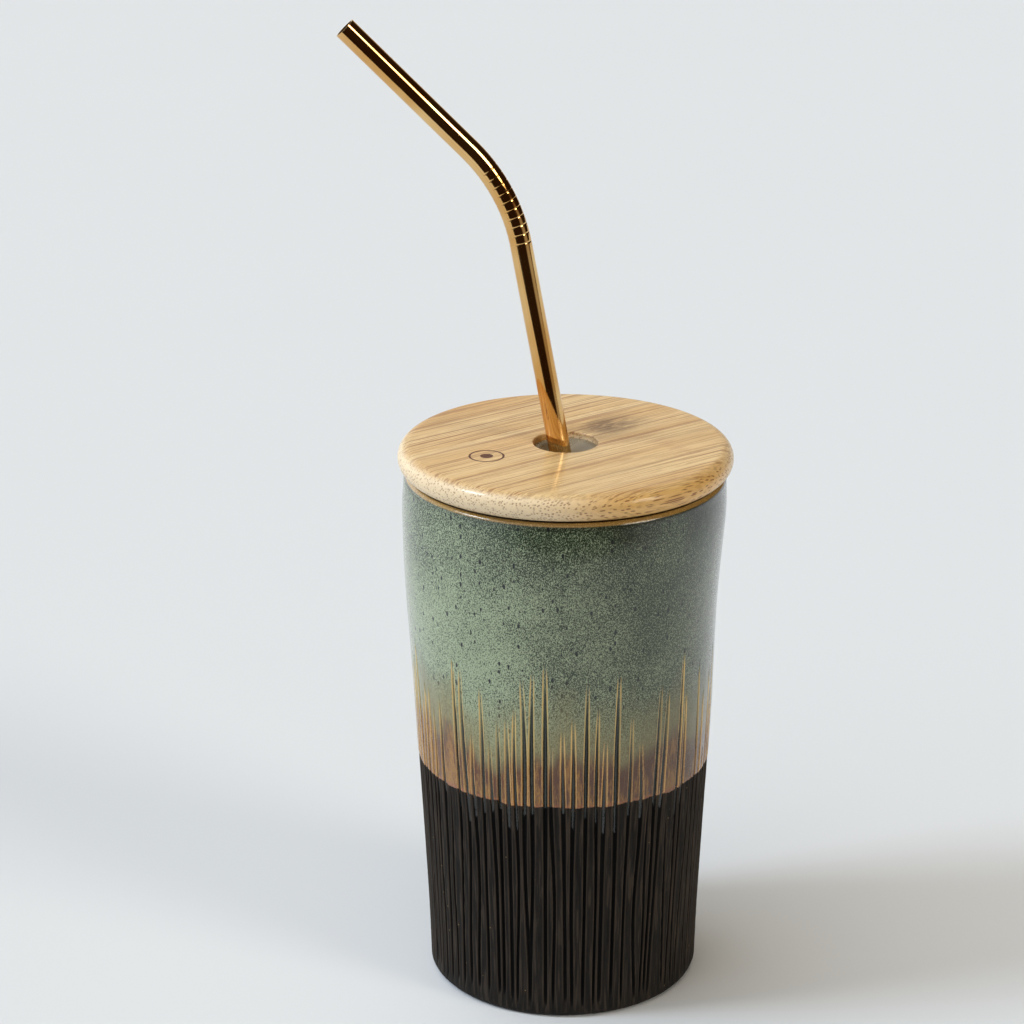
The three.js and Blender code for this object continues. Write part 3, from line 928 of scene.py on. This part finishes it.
class TUMBLER_OT_lid(bpy.types.Operator):
    """Builds the lid's two bamboo plies, the disc and the plug"""

    bl_idname = "tumbler.lid"
    bl_label = "Lid"

    def execute(self, context):
        lid = context.scene.tumbler.lid
        cross = lid.grain - math.pi / 2
        points, faces = turned_ring(disc_profile(lid), LID_COLUMNS)
        disc_look = bamboo("bamboo", lid, lid.grain, marked=True)
        add_piece("bamboo_disc", points, faces, "lid", "lid_disc", disc_look)
        points, faces = turned_ring(plug_profile(lid), LID_COLUMNS)
        plug_look = bamboo("bamboo_cross_ply", lid, cross, marked=False)
        add_piece("bamboo_plug", points, faces, "lid", "lid_plug", plug_look)
        return {"FINISHED"}


class TUMBLER_OT_seal(bpy.types.Operator):
    """Builds the silicone seal in the plug's groove"""

    bl_idname = "tumbler.seal"
    bl_label = "Seal"

    def execute(self, context):
        settings = context.scene.tumbler
        points, faces = turned_ring(seal_profile(settings.silicone, settings.lid.groove_depth), LID_COLUMNS)
        look = soft_silicone("seal_silicone", settings.silicone.shade, clear=False)
        add_piece("silicone_seal", points, faces, "seal", "seal_ring", look)
        return {"FINISHED"}


# ---- Straw and grommet ----

STRAW_COLUMNS = 64
STRAW_SPARE = 2 * MM  # how far the bend's fine rows reach into both legs
ROLL_REACH = 0.17 * MM  # half width of a rolled groove
GROMMET_COLUMNS = 128


def straw_ends(straw):
    """The centres of the straw's two square-cut ends, from the corners of its box: a tilted end reaches
    past its centre by the radius times the sine of its lean in height and the cosine across. Returns
    the radius, both legs' lean and the lower and upper centre."""
    radius = (STRAW_HIGH.y - STRAW_LOW.y) / 2
    lean = math.atan2(-STRAW_AXIS.x, STRAW_AXIS.z)
    turned = lean + straw.bend
    low = np.array([STRAW_HIGH.x - radius * math.cos(lean), STRAW_LOW.z + radius * math.sin(lean)])
    high = np.array([STRAW_LOW.x + radius * math.cos(turned), STRAW_HIGH.z - radius * math.sin(turned)])
    high += straw.mouth_extra * np.array([-math.sin(turned), math.cos(turned)])
    return radius, lean, turned, low, high


def straw_path(straw):
    """Centreline in the XZ plane: a straight leg, an arc of the bend's radius that is tangent to both
    legs, and the mouth leg. Returns the radius, the points, the lean and the length run at each, and
    the length run where the bend starts."""
    radius, lean, turned, low, high = straw_ends(straw)
    lower = np.array([-math.sin(lean), math.cos(lean)])
    mouth = np.array([-math.sin(turned), math.cos(turned)])
    reach = np.linalg.solve(np.column_stack([lower, mouth]), high - low)
    tangent = straw.bend_radius * math.tan(straw.bend / 2)
    first, last = reach[0] - tangent, reach[1] - tangent
    bent = straw.bend_radius * straw.bend
    start, end = first - STRAW_SPARE, first + bent + STRAW_SPARE
    run = np.concatenate([
        sweep(0, start, 24), sweep(start, end, 520), np.linspace(end, first + bent + last, 12)
    ])
    turn = lean + np.clip((run - first) / bent, 0, 1) * straw.bend
    centre = low + lower * first + straw.bend_radius * np.array([-math.cos(lean), -math.sin(lean)])
    on_bend = centre + straw.bend_radius * np.column_stack([np.cos(turn), np.sin(turn)])
    before_bend = low + np.minimum(run, first)[:, None] * lower - (low + first * lower)
    after_bend = np.maximum(run - first - bent, 0)[:, None] * mouth
    return radius, on_bend + before_bend + after_bend, turn, run, first


def straw_surface(straw):
    """A tube carried along the path: the point at u and v is the centreline plus the radius times the
    cosine of u along the bend's own direction and the sine of u along Y. The radius drops in a narrow
    bell at each rolled groove. The wall's inside runs back down, and round lips join them."""
    radius, centre, turn, run, first = straw_path(straw)
    groove = np.zeros_like(run)
    middle = first + straw.bend_radius * straw.bend / 2 - straw.roll_shift
    for i in range(straw.rolls):
        at = middle + (i + 0.5 - straw.rolls / 2) * straw.roll_pitch
        groove += np.exp(-(((run - at) / ROLL_REACH) ** 2))
    outer = radius - groove * straw.roll_depth
    inner = radius - straw.wall - groove * straw.roll_depth * 0.8
    edge = straw.wall / 2
    lip = np.radians(np.linspace(0, 180, 7))[1:-1]
    top_radius = radius - edge + edge * np.cos(lip)
    top_shift = edge * 0.5 * np.sin(lip)
    last = len(run) - 1
    back = np.unique(np.concatenate([np.arange(0, last, 6), [last]]))[::-1]
    rows_radius = np.concatenate([outer, top_radius, inner[back], top_radius[::-1]])
    index = np.concatenate([np.arange(last + 1), [last] * len(lip), back, [0] * len(lip)])
    shift = np.zeros(len(rows_radius))
    shift[last + 1 : last + 1 + len(lip)] = top_shift - edge * 0.5
    shift[-len(lip) :] = edge * 0.5 - top_shift
    heading = np.column_stack([-np.sin(turn), np.zeros_like(turn), np.cos(turn)])[index]
    side = np.column_stack([np.cos(turn), np.zeros_like(turn), np.sin(turn)])[index]
    middle = np.column_stack([centre[:, 0], np.zeros_like(turn), centre[:, 1]])[index]
    middle += heading * shift[:, None]
    a = sweep(0, 2 * math.pi, STRAW_COLUMNS)[None, :, None]
    across = side[:, None, :] * np.cos(a) + np.array([0, 1, 0]) * np.sin(a)
    grid = middle[:, None, :] + rows_radius[:, None, None] * across
    around = np.broadcast_to(sweep(0, 1, STRAW_COLUMNS)[None, :], grid.shape[:2])
    along = np.broadcast_to((run / run[-1])[index][:, None], grid.shape[:2])
    uv = np.stack([around, along], -1).reshape(-1, 2)
    return grid.reshape(-1, 3), [quads(grid.shape[0], STRAW_COLUMNS, wrap=True)], uv


def grommet_surface(silicone, straw, lid):
    """Rings that run up the sleeve's outside, over its top, in across the dished membrane to the straw's
    hole, back out under it and down the inside to the flange. A membrane ring blends the sleeve's
    circle into the hole's circle, which follows the straw's lean and stands off centre."""
    radius, lean, _, low, _ = straw_ends(straw)
    outer = lid.hole_radius - silicone.sleeve_fit
    inner = outer - silicone.sleeve
    top, bottom = GROMMET_HIGH.z, GROMMET_LOW.z
    flange_top, ease = bottom + silicone.flange, silicone.ease
    wall = np.vstack([
        [[inner, bottom], [GROMMET_HIGH.x - ease, bottom]],
        arc(GROMMET_HIGH.x - ease, bottom + ease, ease, -90, 0, 4)[1:],
        arc(GROMMET_HIGH.x - ease, flange_top - ease, ease, 0, 90, 4),
        [[outer, flange_top], [outer, (flange_top + top) / 2]],
        arc(outer - ease, top - ease, ease, 0, 90, 5),
    ])
    angles = sweep(0, 2 * math.pi, GROMMET_COLUMNS)[None, :]
    share = np.linspace(0, 1, 14)[1:, None]
    hole = radius + silicone.fit
    x_hole = low[0] - (top - silicone.dish - low[1]) * math.tan(lean)

    def membrane(drop, share):
        x_middle = x_hole + drop * math.tan(lean)
        across = (1 - share) * inner + share * hole / math.cos(lean)
        x = across * np.cos(angles) + share * x_middle
        y = ((1 - share) * inner + share * hole) * np.sin(angles)
        z = np.broadcast_to(top - drop - silicone.dish * np.sin(share * math.pi / 2), y.shape)
        return np.stack([x, y, z], -1)

    leaving = np.linspace(top - silicone.membrane, bottom, 6)[:-1]
    grid = np.concatenate([
        ring_points(wall[:, 0], wall[:, 1], GROMMET_COLUMNS),
        membrane(0.0, share),
        membrane(silicone.membrane, share)[::-1],
        ring_points(np.full(len(leaving), inner), leaving, GROMMET_COLUMNS),
    ])
    return grid.reshape(-1, 3), [quads(len(grid), GROMMET_COLUMNS, wrap=True)]


class TUMBLER_OT_straw(bpy.types.Operator):
    """Builds the bent metal straw"""

    bl_idname = "tumbler.straw"
    bl_label = "Straw"

    def execute(self, context):
        straw = context.scene.tumbler.straw
        points, faces, uv = straw_surface(straw)
        add_piece("gold_straw", points, faces, "straw", "straw", gold_steel(straw), uv=uv)
        return {"FINISHED"}


class TUMBLER_OT_grommet(bpy.types.Operator):
    """Builds the clear grommet that holds the straw in the lid"""

    bl_idname = "tumbler.grommet"
    bl_label = "Grommet"

    def execute(self, context):
        settings = context.scene.tumbler
        points, faces = grommet_surface(settings.silicone, settings.straw, settings.lid)
        look = soft_silicone("clear_silicone", settings.silicone.shade, clear=True)
        add_piece("silicone_grommet", points, faces, "grommet", "straw_grommet", look)
        return {"FINISHED"}


# ---- Stage ----

KEY_COLOUR = (0.89, 1.0, 1.13)
COOL_COLOUR = (0.89, 1.0, 1.12)  # the left panel
WARM_COLOUR = (1.09, 1.0, 0.84)  # the other panels
DIM_COLOUR = (1.0, 0.55, 0.3)  # between the panels


def add_floor(stage):
    """A plain round floor: rings whose radius grows with the square of the row's share, moved back so
    that it ends a little way in front of the cup."""
    rings, columns = 12, 256
    share = np.linspace(0.1, 1, rings)
    grid = ring_points(stage.floor_radius * share**2, np.zeros(rings), columns)
    points = np.vstack([[[0, 0, 0]], grid.reshape(-1, 3)])
    points[:, 1] += stage.floor_radius - stage.floor_front
    faces = [fan(0, 1 + np.arange(columns), outward=False), quads(rings, columns, 1)[:, ::-1]]
    f = finish("floor_cloth")
    soft = f.noise(f.place(), 6, 2) * 0.06
    shade = f.blend(soft, stage.floor_shade, tuple(0.8 * x for x in stage.floor_shade))
    mesh = bpy.data.meshes.new("floor")
    mesh.from_pydata(points.tolist(), [], [list(face) for part in faces for face in part.tolist()])
    mesh.materials.append(f.done(Base_Color=shade, Roughness=0.95, Specular_IOR_Level=0.1))
    floor = bpy.data.objects.new("floor", mesh)
    bpy.context.scene.collection.objects.link(floor)


def add_key_light(stage):
    """A soft sun from the left and a little in front."""
    lamp = bpy.data.lights.new("key", "SUN")
    lamp.energy = stage.key
    lamp.angle = stage.key_spread
    lamp.color = KEY_COLOUR
    light = bpy.data.objects.new("key", lamp)
    flat = math.cos(stage.key_height)
    towards = Vector((
        flat * math.cos(stage.key_side), flat * math.sin(stage.key_side), math.sin(stage.key_height)
    ))
    light.rotation_euler = towards.to_track_quat("Z", "Y").to_euler()
    bpy.context.scene.collection.objects.link(light)


def panel(f, facing, inner, outer, strength):
    """Light of a round panel: full within the inner angle of where it stands, none past the outer."""
    ray = f.value("ShaderNodeTexCoord", {}, "Generated")
    cosine = f.value("ShaderNodeVectorMath", {0: ray, 1: facing}, "Value", operation="DOT_PRODUCT")
    return f.rise(cosine, math.cos(math.radians(outer)), math.cos(math.radians(inner))) * strength


def add_surround(stage):
    """Room light as soft panels: broad ones at the left, behind and above, and smaller ones high in
    front and at the right. The camera's side stays dim. The camera itself sees an even pale grey."""
    f = Graph(bpy.data.worlds.new("surround"))
    left = panel(f, (-0.95, 0.05, 0.3), 28, 76, stage.left)
    back = panel(f, (-0.35, 0.94, 0), 25, 62, stage.back)
    top = panel(f, (-0.2, 0.1, 0.97), 18, 44, stage.top)
    front = panel(f, (-0.1, -0.55, 0.83), 12, 34, stage.front)
    right = panel(f, (0.93, -0.35, -0.15), 6, 24, stage.right)
    strip = panel(f, (0.76, -0.5, 0.42), 6, 12, stage.strip)
    rest = stage.base + back + top + front + right + strip
    warmth = f.blend(f.rise(rest, 0.05, 0.3), DIM_COLOUR, WARM_COLOUR)
    cool_light = f.value("ShaderNodeBackground", {"Color": COOL_COLOUR, "Strength": left})
    warm_light = f.value("ShaderNodeBackground", {"Color": warmth, "Strength": rest})
    room = f.value("ShaderNodeAddShader", {0: cool_light, 1: warm_light})
    seen = f.value("ShaderNodeBackground", {"Color": stage.backdrop})
    by_camera = f.value("ShaderNodeLightPath", {}, "Is Camera Ray")
    f.node("ShaderNodeOutputWorld", {0: f.value("ShaderNodeMixShader", {0: by_camera, 1: room, 2: seen})})
    bpy.context.scene.world = f.owner


def add_camera(stage):
    lens = bpy.data.cameras.new("camera")
    lens.lens = stage.lens
    lens.sensor_width = 36
    lens.clip_start = 0.01
    lens.clip_end = 50
    camera = bpy.data.objects.new("camera", lens)
    camera.location = (-stage.camera_side, -stage.camera_back, stage.camera_height)
    camera.rotation_euler = (math.pi / 2 - stage.camera_tilt, 0, 0)
    bpy.context.scene.collection.objects.link(camera)
    bpy.context.scene.camera = camera


class TUMBLER_OT_stage(bpy.types.Operator):
    """Sets the plain floor, the soft light and the camera"""

    bl_idname = "tumbler.stage"
    bl_label = "Stage"

    def execute(self, context):
        stage = context.scene.tumbler.stage
        add_camera(stage)
        add_floor(stage)
        add_key_light(stage)
        add_surround(stage)
        context.scene.view_settings.view_transform = "Standard"
        return {"FINISHED"}


# ---- Panel and registration ----


class TUMBLER_PT_panel(bpy.types.Panel):
    """Lists the tumbler's pieces and their settings"""

    bl_label = "Stoneware Tumbler"
    bl_idname = "TUMBLER_PT_panel"
    bl_space_type = "VIEW_3D"
    bl_region_type = "UI"
    bl_category = "Tumbler"

    def draw(self, context):
        settings = context.scene.tumbler
        for group, *operators in (
            (settings.stage, TUMBLER_OT_stage),
            (settings.cup, TUMBLER_OT_cup),
            (settings.lid, TUMBLER_OT_lid),
            (settings.straw, TUMBLER_OT_straw),
            (settings.silicone, TUMBLER_OT_seal, TUMBLER_OT_grommet),
        ):
            box = self.layout.box()
            for operator in operators:
                box.operator(operator.bl_idname)
            for name in group.bl_rna.properties.keys():
                if name not in ("rna_type", "name"):
                    box.prop(group, name)


CLASSES = (
    TumblerCupSettings,
    TumblerLidSettings,
    TumblerStrawSettings,
    TumblerSiliconeSettings,
    TumblerStageSettings,
    TumblerSettings,
    TUMBLER_OT_stage,
    TUMBLER_OT_cup,
    TUMBLER_OT_lid,
    TUMBLER_OT_seal,
    TUMBLER_OT_straw,
    TUMBLER_OT_grommet,
    TUMBLER_PT_panel,
)


def register():
    for cls in CLASSES:
        bpy.utils.register_class(cls)
    bpy.types.Scene.tumbler = PointerProperty(type=TumblerSettings)


def unregister():
    del bpy.types.Scene.tumbler
    for cls in reversed(CLASSES):
        bpy.utils.unregister_class(cls)


def main():
    register()
    bpy.ops.tumbler.stage()
    bpy.ops.tumbler.cup()
    bpy.ops.tumbler.lid()
    bpy.ops.tumbler.seal()
    bpy.ops.tumbler.straw()
    bpy.ops.tumbler.grommet()
    bpy.context.view_layer.update()


if __name__ == "__main__":
    main()
